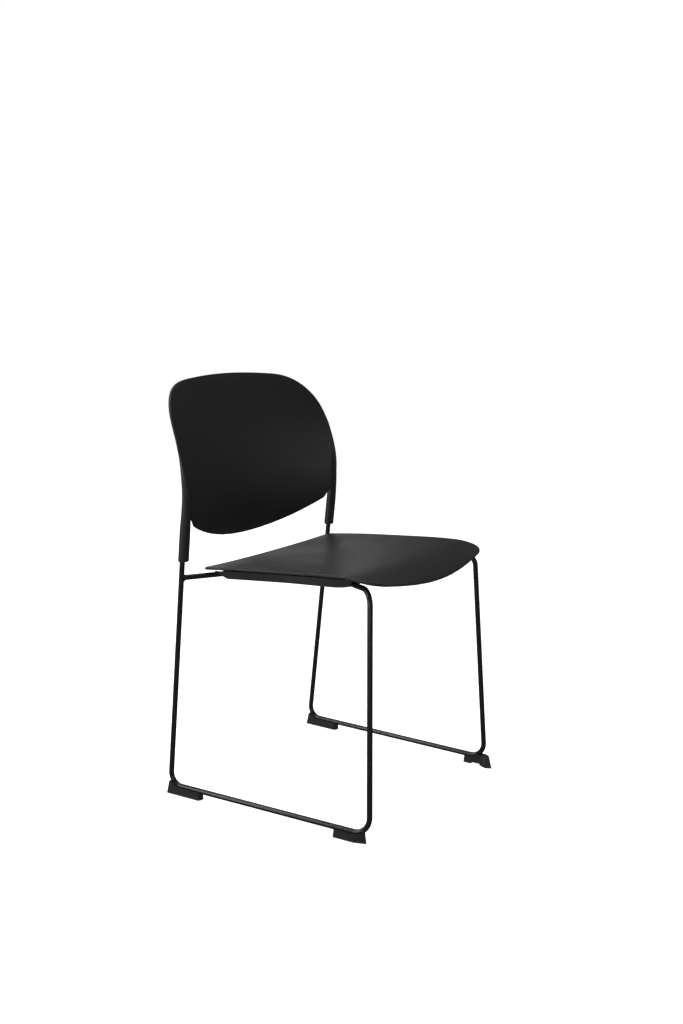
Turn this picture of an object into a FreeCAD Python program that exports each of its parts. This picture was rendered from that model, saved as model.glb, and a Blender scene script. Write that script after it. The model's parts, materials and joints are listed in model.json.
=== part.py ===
import FreeCAD, Part
import Sketcher
import math
import os

from FreeCAD import Placement, Rotation, Vector

# Choir chair: a stacking sled-base chair with a moulded seat and back on a frame of bent steel rod.
# Frame of reference: Z up from the floor, the sitter faces -Y, +X is the sitter's left.
# Every left-hand piece is modelled, and its right-hand twin is the mirror image in the plane X = 0.

doc = FreeCAD.newDocument("choir_chair")


# Driving sizes, in millimetres and degrees

SIZES = {
    # overall
    "total_height": (793.0, "floor to top of backrest"),
    "total_depth": (505.0, "nose of the left front glide to rear of backrest"),
    # steel rod frame
    "rod_diameter": (10.0, "solid round bar"),
    "rod_axis_height": (16.3, "axis of the runners above the floor"),
    "base_rear_width": (468.0, "between rod axes at the rear corners"),
    "base_front_width": (440.8, "between rod axes at the front corners"),
    "base_length": (443.2, "between front and rear corners of a runner"),
    "front_inset": (21.4, "front corner of a runner behind the front of the chair"),
    "post_lean": (6.03, "rear leg, forward from upright"),
    "post_splay": (0.79, "rear leg, outward from upright"),
    "front_leg_lean": (2.29, "front leg, backward from upright"),
    "front_leg_splay": (3.46, "front leg, inward from upright"),
    "front_leg_height": (444.6, "rod axis at the top front corner"),
    "support_width": (300.0, "between the rod axes under the seat"),
    "support_front": (-140.0, "Y where the rods turn straight under the seat"),
    "support_rear": (103.5, "Y where the rods turn out to the posts"),
    "support_drop": (13.6, "fall of the rods from the top front corner to the rear turn"),
    "post_joint_height": (428.6, "where the rod meets the post"),
    "rear_bend": (24.0, "axis radius of the rear floor bend"),
    "front_bend": (31.0, "axis radius of the front floor bend"),
    "top_bend": (26.0, "axis radius of the bend below the seat front"),
    "support_bend": (22.0, "axis radius of the turns under the seat"),
    "cross_bar_front_place": (-112.0, "Y of the front cross bar"),
    "cross_bar_rear_place": (76.0, "Y of the rear cross bar"),
    "weld_gap": (0.2, "between welded pieces"),
    "bead_start_share": (0.8, "a bead starts at this share of the rod's radius"),
    "post_bead_size": (2.6, "leg of the weld bead on a post"),
    "bar_bead_size": (1.5, "leg of the weld bead on a cross bar"),
    # seat
    "seat_width": (419.0, "at the widest"),
    "seat_rear_width": (414.0, "between the rear corners before rounding"),
    "seat_front_width": (405.0, "between the front corners before rounding"),
    "seat_front": (-247.0, "Y of the front edge on the centre line"),
    "seat_rear": (157.0, "Y of the rear edge on the centre line"),
    "seat_front_bow": (17.0, "front edge, middle in front of its ends"),
    "seat_rear_bow": (13.0, "rear edge, middle behind its ends"),
    "seat_corner_front": (42.0, "plan radius of the front corners"),
    "seat_corner_rear": (12.0, "plan radius of the rear corners"),
    "seat_thickness": (5.0, "moulded shell"),
    "seat_rim_round": (1.4, "rounding of the rim"),
    "seat_crest_height": (456.7, "highest point of the centre line"),
    "tab_length": (36.0, "seat tab across the chair"),
    "tab_width": (24.0, "seat tab along the rod"),
    "tab_thickness": (2.5, "steel plate"),
    "tab_overhang": (6.0, "seat tab outside the rod axis"),
    "tab_front_place": (-84.0, "Y of the front tabs"),
    "tab_rear_place": (48.0, "Y of the rear tabs"),
    "seat_screw_inset": (16.0, "seat screw inboard of the rod axis"),
    "boss_diameter": (15.0, "moulded screw boss below the seat"),
    "boss_foot_share": (0.8, "foot of a cover boss as a share of its diameter"),
    "boss_reach": (60.0, "length of a boss before the seat trims it"),
    "pilot_spare": (0.5, "pilot hole deeper than the screw"),
    # cover below the seat
    "cover_width": (401.6, "across the open top, before it is trimmed to the seat"),
    "cover_front": (-187.0, "Y of the front of the open top"),
    "cover_rear": (142.0, "Y of the rear of the open top"),
    "cover_top_height": (453.3, "open top above Y = 0"),
    "cover_tilt": (4.04, "the cover rises to the front"),
    "cover_wall_height": (20.5, "steep part of the wall"),
    "cover_side_slope": (9.8, "foot of a side wall inside the top"),
    "cover_end_slope": (31.0, "foot of the front or rear wall inside the top"),
    "cover_depth": (27.5, "open top to floor above Y = 0"),
    "cover_floor_tilt": (1.33, "the floor is less tilted than the top"),
    "cover_belly": (31.0, "floor inside the foot of a side wall"),
    "cover_end_belly": (16.0, "floor inside the foot of the front wall"),
    "cover_seat_gap": (3.0, "shadow gap below the underside of the seat"),
    "cover_thickness": (2.3, "moulded wall"),
    "cover_corner_front": (26.0, "plan radius of the front corners"),
    "cover_corner_rear": (14.0, "plan radius of the rear corners"),
    "cover_screw_spread": (192.0, "between the left and right cover screws"),
    "cover_screw_front": (-92.0, "Y of the front cover screws"),
    "cover_screw_rear": (56.0, "Y of the rear cover screws"),
    "rod_clearance": (1.2, "round a rod where it passes a plastic wall"),
    # backrest
    "back_width": (492.6, "at the widest"),
    "back_bottom": (477.0, "lowest point of the shell"),
    "back_thickness": (5.0, "moulded shell"),
    "back_rim_round": (1.8, "rounding of the rim"),
    "lumbar_height": (586.0, "where the centre line is furthest forward"),
    "back_profile_radius": (350.0, "centre line seen from the side"),
    "back_plan_radius": (812.0, "curve from side to side at half height"),
    "back_top_plan_radius": (1300.0, "curve from side to side at the top"),
    "socket_mouth_height": (460.0, "lower end of the post sockets"),
    "socket_diameter": (20.0, "outside, at the mouth"),
    "socket_forward": (1.7, "socket middle in front of the rod axis"),
    "socket_inward": (1.2, "socket middle inboard of the rod axis"),
    "socket_mouth_round": (1.5, "rounding of the lower end"),
    "socket_straight_height": (500.0, "where the socket starts to run out"),
    "socket_fade_height": (708.0, "where the socket has run out into the shell edge"),
    "socket_rim_lap": (1.5, "the fading socket stands out past the shell edge"),
    "post_top_height": (552.0, "upper end of the post inside the socket"),
    "post_fit": (0.3, "clearance round the post in its socket"),
    # glides
    "glide_sole_width": (17.0, "at the floor"),
    "glide_crown_width": (13.4, "at the top of the walls"),
    "glide_wall_height": (15.0, "top of the walls that grip the rod"),
    "glide_end_slant": (1.2, "end faces lean in from the sole to the crown"),
    "glide_rear_length": (79.0, "rear glide along the runner"),
    "glide_rear_overhang": (3.5, "rear glide behind the rear corner"),
    "glide_rear_crown": (25.0, "top of the rear glide behind the bend"),
    "glide_front_length": (65.0, "front glide along the runner"),
    "glide_right_setback": (27.0, "right front glide behind the left one"),
    "glide_left_crown": (21.5, "top of the nose of the left front glide"),
    "glide_right_crown": (19.0, "top of the nose of the right front glide"),
    "glide_shoulder_share": (0.35, "end of the nose, outboard, as a share of the glide's length"),
    "glide_flare_share": (0.19, "widest place of the nose, as a share of the glide's length"),
    "glide_waist_share": (0.4, "end of the flare, as a share of the glide's length"),
    "glide_cheek_share": (0.12, "slope of the nose's inboard cheek, as a share of the length"),
    "glide_arch_share": (0.41, "start of the notch, as a share of the glide's length"),
    "glide_nose_flare": (6.0, "nose wider than the rest, inboard"),
    "glide_nose_bevel": (6.0, "one corner of the nose behind the other"),
    "glide_arch_height": (6.0, "notch in the inboard edge of a front sole"),
    "glide_arch_length": (22.0, "notch in the inboard edge of a front sole"),
    "glide_fit": (0.2, "clearance round the rod in a glide"),
    # screws
    "screw_diameter": (4.8, "shank of a seat or cover screw"),
    "screw_head_diameter": (9.5, "pan head"),
    "screw_head_height": (2.8, "pan head"),
    "screw_length": (8.0, "below the head"),
    "screw_play": (0.6, "hole wider than the shank"),
    "pilot_play": (0.1, "pilot hole wider than the shank"),
    "socket_screw_diameter": (3.4, "shank"),
    "socket_screw_head_diameter": (6.8, "pan head"),
    "socket_screw_head_height": (2.0, "pan head"),
    "socket_screw_length": (11.5, "below the head"),
    "socket_screw_rise": (30.0, "above the socket mouth"),
}

sheet = doc.addObject("Spreadsheet::Sheet", "Sizes")
for row, (alias, (value, note)) in enumerate(SIZES.items(), start=1):
    sheet.set(f"A{row}", alias)
    sheet.set(f"B{row}", str(value))
    sheet.set(f"C{row}", note)
    sheet.setAlias(f"B{row}", alias)
doc.recompute()


def size(alias):
    """A driving size, read from the sheet."""
    return float(getattr(sheet, alias))


def evaluate(expression):
    """The number that an expression over the sheet's sizes gives."""
    return float(sheet.evalExpression(expression))


# Helpers for document objects

nodes = []


def finish_node(item, label):
    """Name a finished sub-part and list it for export."""
    item.Label = label
    nodes.append(item)
    return item


def code_feature(name, shape):
    """A document object for a shape that neither sketches nor primitives can make."""
    item = doc.addObject("Part::Feature", name)
    item.Shape = shape
    item.Placement = Placement()
    return item


def mirrored(source, name):
    """The right-hand twin of a left-hand piece."""
    twin = doc.addObject("Part::Mirroring", name)
    twin.Source = source
    twin.Normal = Vector(1, 0, 0)
    twin.Base = Vector(0, 0, 0)
    return twin


def boolean(kind, name, base, tool):
    """A Part::Cut or Part::Fuse of two document objects."""
    item = doc.addObject("Part::" + kind, name)
    item.Base = base
    item.Tool = tool
    return item


def group(name, members):
    """Identical loose solids kept as one sub-part."""
    item = doc.addObject("Part::Compound", name)
    item.Links = members
    return item


# Helpers for sketches, whose every dimension is an expression over the sheet

def add_sketch(body, name, role, offset=None):
    """An empty sketch on one of its body's own origin planes."""
    sketch = body.newObject("Sketcher::SketchObject", name)
    plane = next(part for part in body.Origin.OriginFeatures if part.Role == role)
    sketch.AttachmentSupport = (plane, [""])
    sketch.MapMode = "FlatFace"
    if offset is not None:
        sketch.AttachmentOffset = offset
    return sketch


def dimension(sketch, constraint_kind, places, expression):
    """One sketch dimension bound to an expression."""
    number = sketch.addConstraint(
        Sketcher.Constraint(constraint_kind, *places, evaluate(expression)))
    sketch.setExpression(f"Constraints[{number}]", expression)


def add_polygon(sketch, corners):
    """Closed straight outline through corners given as pairs of expressions."""
    points = [Vector(evaluate(across), evaluate(along), 0) for across, along in corners]
    count = len(points)
    for index in range(count):
        sketch.addGeometry(Part.LineSegment(points[index], points[(index + 1) % count]), False)
    for index in range(count):
        sketch.addConstraint(Sketcher.Constraint("Coincident", index, 2, (index + 1) % count, 1))
    for index, (across, along) in enumerate(corners):
        dimension(sketch, "DistanceX", (-1, 1, index, 1), across)
        dimension(sketch, "DistanceY", (-1, 1, index, 1), along)


def add_circle(sketch, across, along, radius):
    """A circle given by expressions for its middle and its radius."""
    middle = Vector(evaluate(across), evaluate(along), 0)
    number = sketch.addGeometry(Part.Circle(middle, Vector(0, 0, 1), evaluate(radius)), False)
    dimension(sketch, "DistanceX", (-1, 1, number, 3), across)
    dimension(sketch, "DistanceY", (-1, 1, number, 3), along)
    dimension(sketch, "Radius", (number,), radius)


def add_rounded_rectangle(sketch, half_width, front, rear, front_radius, rear_radius):
    """A rectangle about the Y axis with rounded corners, given by expressions."""
    half, low, high = evaluate(half_width), evaluate(front), evaluate(rear)
    small, large = evaluate(front_radius), evaluate(rear_radius)
    quarter = math.pi / 2
    axis = Vector(0, 0, 1)
    corners = (
        (half - small, low + small, small, -quarter),
        (half - large, high - large, large, 0.0),
        (large - half, high - large, large, quarter),
        (small - half, low + small, small, 2 * quarter),
    )
    for across, along, radius, angle in corners:
        circle = Part.Circle(Vector(across, along, 0), axis, radius)
        sketch.addGeometry(Part.ArcOfCircle(circle, angle, angle + quarter), False)
    for index in range(4):
        start = sketch.Geometry[index].EndPoint
        end = sketch.Geometry[(index + 1) % 4].StartPoint
        sketch.addGeometry(Part.LineSegment(start, end), False)
    for index in range(4):
        line = 4 + index
        sketch.addConstraint(Sketcher.Constraint("Tangent", index, 2, line, 1))
        sketch.addConstraint(Sketcher.Constraint("Tangent", line, 2, (index + 1) % 4, 1))
    sketch.addConstraint(Sketcher.Constraint("Vertical", 4))
    sketch.addConstraint(Sketcher.Constraint("Horizontal", 5))
    sketch.addConstraint(Sketcher.Constraint("Vertical", 6))
    sketch.addConstraint(Sketcher.Constraint("Horizontal", 7))
    sketch.addConstraint(Sketcher.Constraint("Equal", 0, 3))
    sketch.addConstraint(Sketcher.Constraint("Equal", 1, 2))
    dimension(sketch, "Radius", (0,), front_radius)
    dimension(sketch, "Radius", (1,), rear_radius)
    dimension(sketch, "DistanceX", (-1, 1, 4, 1), half_width)
    dimension(sketch, "DistanceX", (-1, 1, 6, 1), f"-({half_width})")
    dimension(sketch, "DistanceY", (-1, 1, 5, 1), rear)
    dimension(sketch, "DistanceY", (-1, 1, 7, 1), front)


# The bent side rod

def rod_corners():
    """Virtual corners of the left rod's axis, from the post top round to the weld on the post."""
    front_y = size("front_inset") - size("total_depth") / 2
    rear = Vector(size("base_rear_width") / 2, front_y + size("base_length"), size("rod_axis_height"))
    front = Vector(size("base_front_width") / 2, front_y, size("rod_axis_height"))
    rise = size("front_leg_height") - front.z
    front_top = front + Vector(
        -math.tan(math.radians(size("front_leg_splay"))) * rise,
        math.tan(math.radians(size("front_leg_lean"))) * rise,
        rise)
    support_front = support_point(size("support_front"), front_top)
    support_rear = support_point(size("support_rear"), front_top)
    return (post_point(size("post_top_height")), rear, front, front_top,
            support_front, support_rear, post_point(size("post_joint_height")))


def post_direction():
    """Upward direction of the left post."""
    return Vector(math.tan(math.radians(size("post_splay"))),
                  -math.tan(math.radians(size("post_lean"))), 1)


def post_point(height):
    """Point of the left post's axis at a height above the floor."""
    rear_y = size("front_inset") - size("total_depth") / 2 + size("base_length")
    foot = Vector(size("base_rear_width") / 2, rear_y, size("rod_axis_height"))
    return foot + post_direction() * (height - foot.z)


def support_slope():
    """Fall of the under-seat rods per unit of length towards the rear."""
    front_y = size("front_inset") - size("total_depth") / 2
    rise = size("front_leg_height") - size("rod_axis_height")
    front_top_y = front_y + math.tan(math.radians(size("front_leg_lean"))) * rise
    return size("support_drop") / (size("support_rear") - front_top_y)


def support_point(place, front_top=None):
    """Point of the left under-seat rod's axis at Y = place."""
    drop = (size("support_rear") - place) * support_slope()
    height = size("front_leg_height") - size("support_drop") + drop
    return Vector(size("support_width") / 2, place, height)


def rounded_path(corners, radii):
    """Wire along straight lines joined by arcs of the given radii at the inner corners."""
    edges = []
    start = corners[0]
    for index, radius in enumerate(radii, start=1):
        corner = corners[index]
        before = (corners[index - 1] - corner).normalize()
        after = (corners[index + 1] - corner).normalize()
        half_angle = before.getAngle(after) / 2
        reach = radius / math.tan(half_angle)
        inward = (before + after).normalize()
        arc_start = corner + before * reach
        arc_end = corner + after * reach
        arc_middle = corner + inward * (radius / math.sin(half_angle) - radius)
        edges.append(Part.makeLine(start, arc_start))
        edges.append(Part.Arc(arc_start, arc_middle, arc_end).toShape())
        start = arc_end
    edges.append(Part.makeLine(start, corners[-1]))
    return Part.Wire(edges)


def rod_solid(clearance=0.0):
    """The left rod, or the space round it when a clearance is given."""
    radius = size("rod_diameter") / 2 + clearance
    corners = list(rod_corners())
    joint = corners[-1]
    last_run = (corners[-2] - joint).normalize()
    corners[-1] = joint + last_run * size("rod_diameter") * 2
    radii = [size(name) for name in
             ("rear_bend", "front_bend", "top_bend", "support_bend", "support_bend")]
    path = rounded_path(corners, radii)
    profile = Part.Wire(Part.makeCircle(radius, corners[0], post_direction()))
    bent = path.makePipeShell([profile], True, False)
    stub = Part.makeCylinder(radius, size("rod_diameter") * 2, joint, last_run)
    return bent.fuse(stub).removeSplitter()


def socket_screw_place():
    """Axis point of the left post level with its socket screw."""
    return post_point(size("socket_mouth_height") + size("socket_screw_rise"))


def make_side_rods():
    """One bent bar each side: post, rear leg, runner, front leg and under-seat run."""
    rod = rod_solid()
    place = socket_screw_place()
    hole_radius = (size("socket_screw_diameter") + size("pilot_play")) / 2
    hole_length = size("socket_screw_length") + size("rod_diameter")
    hole_start = place + Vector(0, size("rod_diameter"), 0)
    hole = Part.makeCylinder(hole_radius, hole_length, hole_start, Vector(0, -1, 0))
    rod = rod.cut(hole)
    left = finish_node(code_feature("SideRodLeft", rod), "side_rod_left")
    finish_node(mirrored(left, "SideRodRight"), "side_rod_right")


# Cross bars, weld beads and seat tabs

def make_cross_bars(rod_space):
    """Two straight bars, coped to the side rods that they tie together."""
    for name in ("front", "rear"):
        place = f"cross_bar_{name}_place"
        bar = doc.addObject("Part::Cylinder", f"CrossBarStock{name.title()}")
        bar.setExpression("Radius", "Sizes.rod_diameter / 2")
        bar.setExpression("Height", "Sizes.support_width")
        middle = support_point(size(place))
        bar.Placement = Placement(Vector(-middle.x, middle.y, middle.z), Rotation(Vector(0, 1, 0), 90))
        coped = boolean("Cut", f"CrossBar{name.title()}", bar, rod_space)
        finish_node(coped, f"cross_bar_{name}")


def weld_bead(leg, host_point, host_direction, branch_direction):
    """Fillet weld round the end of a branch rod that butts against a host rod."""
    radius = size("rod_diameter") / 2
    gap = size("weld_gap") / 2
    start = radius * size("bead_start_share")
    toe = host_point + branch_direction * start
    bead = Part.makeCone(radius + leg, radius + gap, radius - start + leg, toe, branch_direction)
    branch = Part.makeCylinder(radius + gap, 4 * radius, host_point, branch_direction)
    host = Part.makeCylinder(radius + gap, 6 * radius,
                             host_point - host_direction * 3 * radius, host_direction)
    return bead.cut(branch).cut(host)


def make_weld_beads():
    """Beads where the rods meet the posts, and at the four ends of the cross bars."""
    corners = rod_corners()
    joint = corners[-1]
    outward = (corners[-2] - joint).normalize()
    upward = post_direction().normalize()
    post_bead = code_feature("PostBeadLeft", weld_bead(size("post_bead_size"), joint, upward, outward))
    finish_node(group("PostBeads", [post_bead, mirrored(post_bead, "PostBeadRight")]),
                "post_weld_beads")
    along = Vector(0, 1, -support_slope()).normalize()
    beads = []
    for name in ("front", "rear"):
        middle = support_point(size(f"cross_bar_{name}_place"))
        shape = weld_bead(size("bar_bead_size"), middle, along, Vector(-1, 0, 0))
        bead = code_feature(f"BarBeadLeft{name.title()}", shape)
        beads += [bead, mirrored(bead, f"BarBeadRight{name.title()}")]
    finish_node(group("BarBeads", beads), "cross_bar_weld_beads")


def support_frame(place):
    """Placement on the left under-seat rod's axis, with its own Y along the rod."""
    fall = math.degrees(math.atan(support_slope()))
    return Placement(support_point(size(place)), Rotation(Vector(1, 0, 0), -fall))


def make_seat_tabs():
    """Pressed plates on the under-seat rods, each with a hole for one seat screw."""
    for name in ("front", "rear"):
        body = doc.addObject("PartDesign::Body", f"SeatTab{name.title()}Left")
        outline = add_sketch(body, f"TabOutline{name.title()}", "XY_Plane")
        inner = "Sizes.tab_overhang - Sizes.tab_length"
        add_polygon(outline, (
            ("Sizes.tab_overhang", "-Sizes.tab_width / 2"),
            ("Sizes.tab_overhang", "Sizes.tab_width / 2"),
            (inner, "Sizes.tab_width / 2"),
            (inner, "-Sizes.tab_width / 2"),
        ))
        outline.setExpression("AttachmentOffset.Base.z", "Sizes.rod_diameter / 2 + Sizes.weld_gap")
        plate = body.newObject("PartDesign::Pad", f"TabPlate{name.title()}")
        plate.Profile = outline
        plate.setExpression("Length", "Sizes.tab_thickness")
        hole_sketch = add_sketch(body, f"TabHoleOutline{name.title()}", "XY_Plane")
        add_circle(hole_sketch, "-Sizes.seat_screw_inset", "0 * Sizes.tab_width",
                   "(Sizes.screw_diameter + Sizes.screw_play) / 2")
        hole = body.newObject("PartDesign::Pocket", f"TabHole{name.title()}")
        hole.Profile = hole_sketch
        hole.Type = "ThroughAll"
        hole.Reversed = True
        doc.recompute()
        rounding = body.newObject("PartDesign::Fillet", f"TabCorners{name.title()}")
        rounding.Base = (hole, upright_edges(hole.Shape, size("tab_overhang") - size("tab_length") + 1))
        rounding.setExpression("Radius", "Sizes.tab_width / 5")
        body.Tip = rounding
        body.Placement = support_frame(f"tab_{name}_place")
        left = finish_node(body, f"seat_tab_{name}_left")
        finish_node(mirrored(left, f"SeatTab{name.title()}Right"), f"seat_tab_{name}_right")


def upright_edges(shape, highest_x):
    """Names of a shape's straight edges that run along Z at X below a limit."""
    names = []
    for number, edge in enumerate(shape.Edges, start=1):
        if not isinstance(edge.Curve, Part.Line) and not isinstance(edge.Curve, Part.LineSegment):
            continue
        along = edge.tangentAt(edge.FirstParameter)
        if abs(along.z) > 0.99 and edge.CenterOfMass.x < highest_x:
            names.append(f"Edge{number}")
    return names


# The seat shell

# Cross sections of the seat from rear to front: Y, fall of the centre line below its crest,
# and how far the sides stand above the centre line.
SEAT_SECTIONS = (
    (190.0, 20.7, 4.6),
    (155.0, 18.7, 6.8),
    (50.0, 13.2, 11.0),
    (-60.0, 5.7, 10.5),
    (-120.0, 1.5, 9.9),
    (-155.0, 0.0, 9.5),
    (-190.0, 2.7, 11.0),
    (-210.0, 7.2, 12.3),
    (-235.0, 14.2, 17.5),
    (-265.0, 30.5, 28.0),
)


def smooth_curve(points):
    """Even samples of a smooth curve through pairs of place and value."""
    curve = Part.BSplineCurve()
    curve.interpolate([Vector(place, value, 0) for place, value in points])
    return curve.discretize(Number=40 * len(points))


def value_on(samples, place):
    """Value of a sampled curve, whose places fall steadily, at one place."""
    for before, after in zip(samples, samples[1:]):
        if after.x <= place <= before.x:
            share = (place - before.x) / (after.x - before.x)
            return before.y + (after.y - before.y) * share
    return samples[-1].y


def seat_top_face():
    """The doubly curved upper face, wider than the seat itself."""
    half = size("seat_width") / 2
    reach = half * 1.12
    falls = smooth_curve([(place, fall) for place, fall, rise in SEAT_SECTIONS])
    rises = smooth_curve([(place, rise) for place, fall, rise in SEAT_SECTIONS])
    rear, front = SEAT_SECTIONS[0][0], SEAT_SECTIONS[-1][0]
    columns, steps = 9, 22
    rows = []
    for step in range(steps + 1):
        place = rear + (front - rear) * step / steps
        fall = value_on(falls, place)
        rise = value_on(rises, place)
        row = []
        for column in range(columns):
            across = reach * (2 * column / (columns - 1) - 1)
            height = size("seat_crest_height") - fall + rise * (across / half) ** 2
            row.append(Vector(across, place, height))
        rows.append(row)
    surface = Part.BSplineSurface()
    surface.interpolate(rows)
    return surface.toShape()


def seat_prism():
    """Everything inside the seat's plan outline."""
    half = size("seat_width") / 2
    rear_half = size("seat_rear_width") / 2
    front_half = size("seat_front_width") / 2
    front_y = size("seat_front") + size("seat_front_bow")
    rear_y = size("seat_rear") - size("seat_rear_bow")
    floor = size("seat_crest_height") / 2

    def at(across, along):
        return Vector(across, along, floor)

    outline = Part.Wire([
        Part.Arc(at(-front_half, front_y), at(0, size("seat_front")), at(front_half, front_y)).toShape(),
        Part.Arc(at(front_half, front_y), at(half, 0), at(rear_half, rear_y)).toShape(),
        Part.Arc(at(rear_half, rear_y), at(0, size("seat_rear")), at(-rear_half, rear_y)).toShape(),
        Part.Arc(at(-rear_half, rear_y), at(-half, 0), at(-front_half, front_y)).toShape(),
    ])
    prism = Part.Face(outline).extrude(Vector(0, 0, size("seat_crest_height")))
    for radius, is_corner in (
            (size("seat_corner_front"), lambda edge: edge.CenterOfMass.y < 0),
            (size("seat_corner_rear"), lambda edge: edge.CenterOfMass.y > 0)):
        upright = [edge for edge in prism.Edges
                   if abs(edge.tangentAt(edge.FirstParameter).z) > 0.99 and is_corner(edge)
                   and isinstance(edge.Curve, (Part.Line, Part.LineSegment))
                   and is_sharp_corner(edge)]
        prism = prism.makeFillet(radius, upright)
    return prism


def is_sharp_corner(edge):
    """True for an upright edge at one of the outline's four corners."""
    half = min(size("seat_rear_width"), size("seat_front_width")) / 2
    return abs(edge.CenterOfMass.x) > half - 1


def seat_bosses(below_top):
    """Screw bosses: four that stand on the seat tabs, four that the cover screws enter."""
    radius = size("boss_diameter") / 2
    rod_radius = size("rod_diameter") / 2
    pilot = (size("screw_diameter") + size("pilot_play")) / 2
    depth = size("screw_length") + size("pilot_spare")
    solids = []
    holes = []
    for name in ("front", "rear"):
        frame = support_frame(f"tab_{name}_place")
        up = frame.Rotation.multVec(Vector(0, 0, 1))
        start = frame.multVec(Vector(-size("seat_screw_inset"), 0,
                                     rod_radius + size("weld_gap") + size("tab_thickness")))
        solids.append(Part.makeCylinder(radius, size("boss_reach"), start, up))
        holes.append(Part.makeCylinder(pilot, depth - size("tab_thickness"), start, up))
        floor = cover_floor_frame()
        base = floor.multVec(Vector(size("cover_screw_spread") / 2,
                                    size(f"cover_screw_{name}"), size("cover_thickness")))
        normal = floor.Rotation.multVec(Vector(0, 0, 1))
        solids.append(Part.makeCone(radius * size("boss_foot_share"), radius, size("boss_reach"),
                                    base, normal))
        holes.append(Part.makeCylinder(pilot, depth, base, normal))
    both = []
    bores = []
    for solid in solids:
        trimmed = solid.common(below_top)
        both += [trimmed, trimmed.mirror(Vector(0, 0, 0), Vector(1, 0, 0))]
    for hole in holes:
        bores += [hole, hole.mirror(Vector(0, 0, 0), Vector(1, 0, 0))]
    return both, bores


def make_seat_shell():
    """Thin dished shell with a rolled-down front, and its screw bosses."""
    thickness = size("seat_thickness")
    top = seat_top_face()
    shell = top.makeOffsetShape(-thickness, 0.001, fill=True)
    if shell.BoundBox.ZMax > top.BoundBox.ZMax + thickness / 2:
        shell = top.makeOffsetShape(thickness, 0.001, fill=True)
    seat = shell.common(seat_prism())
    rim = [edge for edge in seat.Edges if edge_is_on_rim(edge)]
    seat = seat.makeFillet(size("seat_rim_round"), rim)
    half_way = top.copy()
    half_way.translate(Vector(0, 0, -thickness / 2))
    below_top = half_way.extrude(Vector(0, 0, -size("seat_crest_height") / 4))
    bosses, bores = seat_bosses(below_top)
    seat = seat.fuse(bosses)
    for bore in bores:
        seat = seat.cut(bore)
    finish_node(code_feature("SeatShell", seat), "seat_shell")


def edge_is_on_rim(edge):
    """True for the edges that run round the shell rather than through its thickness."""
    return edge.Length > 2 * size("seat_thickness")


# The cover below the seat

def cover_frame():
    """Placement of the cover's rim plane."""
    return Placement(Vector(0, 0, size("cover_top_height")),
                     Rotation(Vector(1, 0, 0), -size("cover_tilt")))


def cover_floor_frame():
    """Placement of the outside of the cover's floor."""
    local = Placement(Vector(0, 0, -size("cover_depth")),
                      Rotation(Vector(1, 0, 0), size("cover_floor_tilt")))
    return cover_frame().multiply(local)


def cover_section(body, name, depth, tilt, side, end):
    """One rounded-rectangle section of the cover, inset from its open top."""
    sketch = add_sketch(body, name, "XY_Plane")
    sketch.setExpression("AttachmentOffset.Base.z", depth)
    if tilt:
        # The placement gives the axis that the expression turns the sketch about.
        sketch.AttachmentOffset = Placement(Vector(0, 0, evaluate(depth)),
                                            Rotation(Vector(1, 0, 0), evaluate(tilt)))
        sketch.setExpression("AttachmentOffset.Rotation.Angle", tilt)
    add_rounded_rectangle(
        sketch,
        f"Sizes.cover_width / 2 - ({side})",
        f"Sizes.cover_front + ({end})",
        f"Sizes.cover_rear - ({end})",
        "Sizes.cover_corner_front", "Sizes.cover_corner_rear")
    return sketch


def make_cover(trim):
    """Shallow pan that hides the cross bars, notched where the rods pass its rim."""
    body = doc.addObject("PartDesign::Body", "CoverPan")
    wall = "Sizes.cover_thickness"
    for name, kind, inset in (("Outer", "PartDesign::AdditiveLoft", ""),
                              ("Inner", "PartDesign::SubtractiveLoft", wall)):
        more = f" + {inset}" if inset else ""
        top = cover_section(body, f"CoverTop{name}", "0 * Sizes.cover_depth", "",
                            inset or "0 * Sizes.cover_depth", inset or "0 * Sizes.cover_depth")
        foot = cover_section(body, f"CoverWallFoot{name}", f"-Sizes.cover_wall_height{more}", "",
                             f"Sizes.cover_side_slope{more}", f"Sizes.cover_end_slope{more}")
        floor = cover_section(body, f"CoverFloor{name}", f"-Sizes.cover_depth{more}",
                              "Sizes.cover_floor_tilt",
                              f"Sizes.cover_side_slope + Sizes.cover_belly{more}",
                              f"Sizes.cover_end_slope + Sizes.cover_end_belly{more}")
        loft = body.newObject(kind, f"Cover{name}")
        loft.Profile = top
        loft.Sections = [foot, floor]
        loft.Ruled = True
    holes = add_sketch(body, "CoverHoleOutlines", "XY_Plane")
    for place in ("front", "rear"):
        for side in ("", "-"):
            add_circle(holes, f"{side}Sizes.cover_screw_spread / 2", f"Sizes.cover_screw_{place}",
                       "(Sizes.screw_diameter + Sizes.screw_play) / 2")
    pocket = body.newObject("PartDesign::Pocket", "CoverHoles")
    pocket.Profile = holes
    pocket.Type = "ThroughAll"
    body.Tip = pocket
    body.Placement = cover_frame()
    doc.recompute()
    finish_node(boolean("Cut", "UnderSeatCover", body, trim), "under_seat_cover")


# The backrest shell with its sockets

def back_curvature(height):
    """Half the curvature of the backrest in plan at a height."""
    middle = (size("total_height") + size("back_bottom")) / 2
    at_middle = 1 / (2 * size("back_plan_radius"))
    at_top = 1 / (2 * size("back_top_plan_radius"))
    share = (height - middle) / (size("total_height") - middle)
    return at_middle + (at_top - at_middle) * share


def back_middle(across, height):
    """Y of the shell's middle surface; the top of the shell reaches the rear of the chair."""
    profile = 1 / (2 * size("back_profile_radius"))
    rise = size("total_height") - size("lumbar_height")
    lumbar_y = size("total_depth") / 2 - size("back_thickness") / 2 - profile * rise ** 2
    return (lumbar_y + profile * (height - size("lumbar_height")) ** 2
            - back_curvature(height) * across ** 2)


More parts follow.
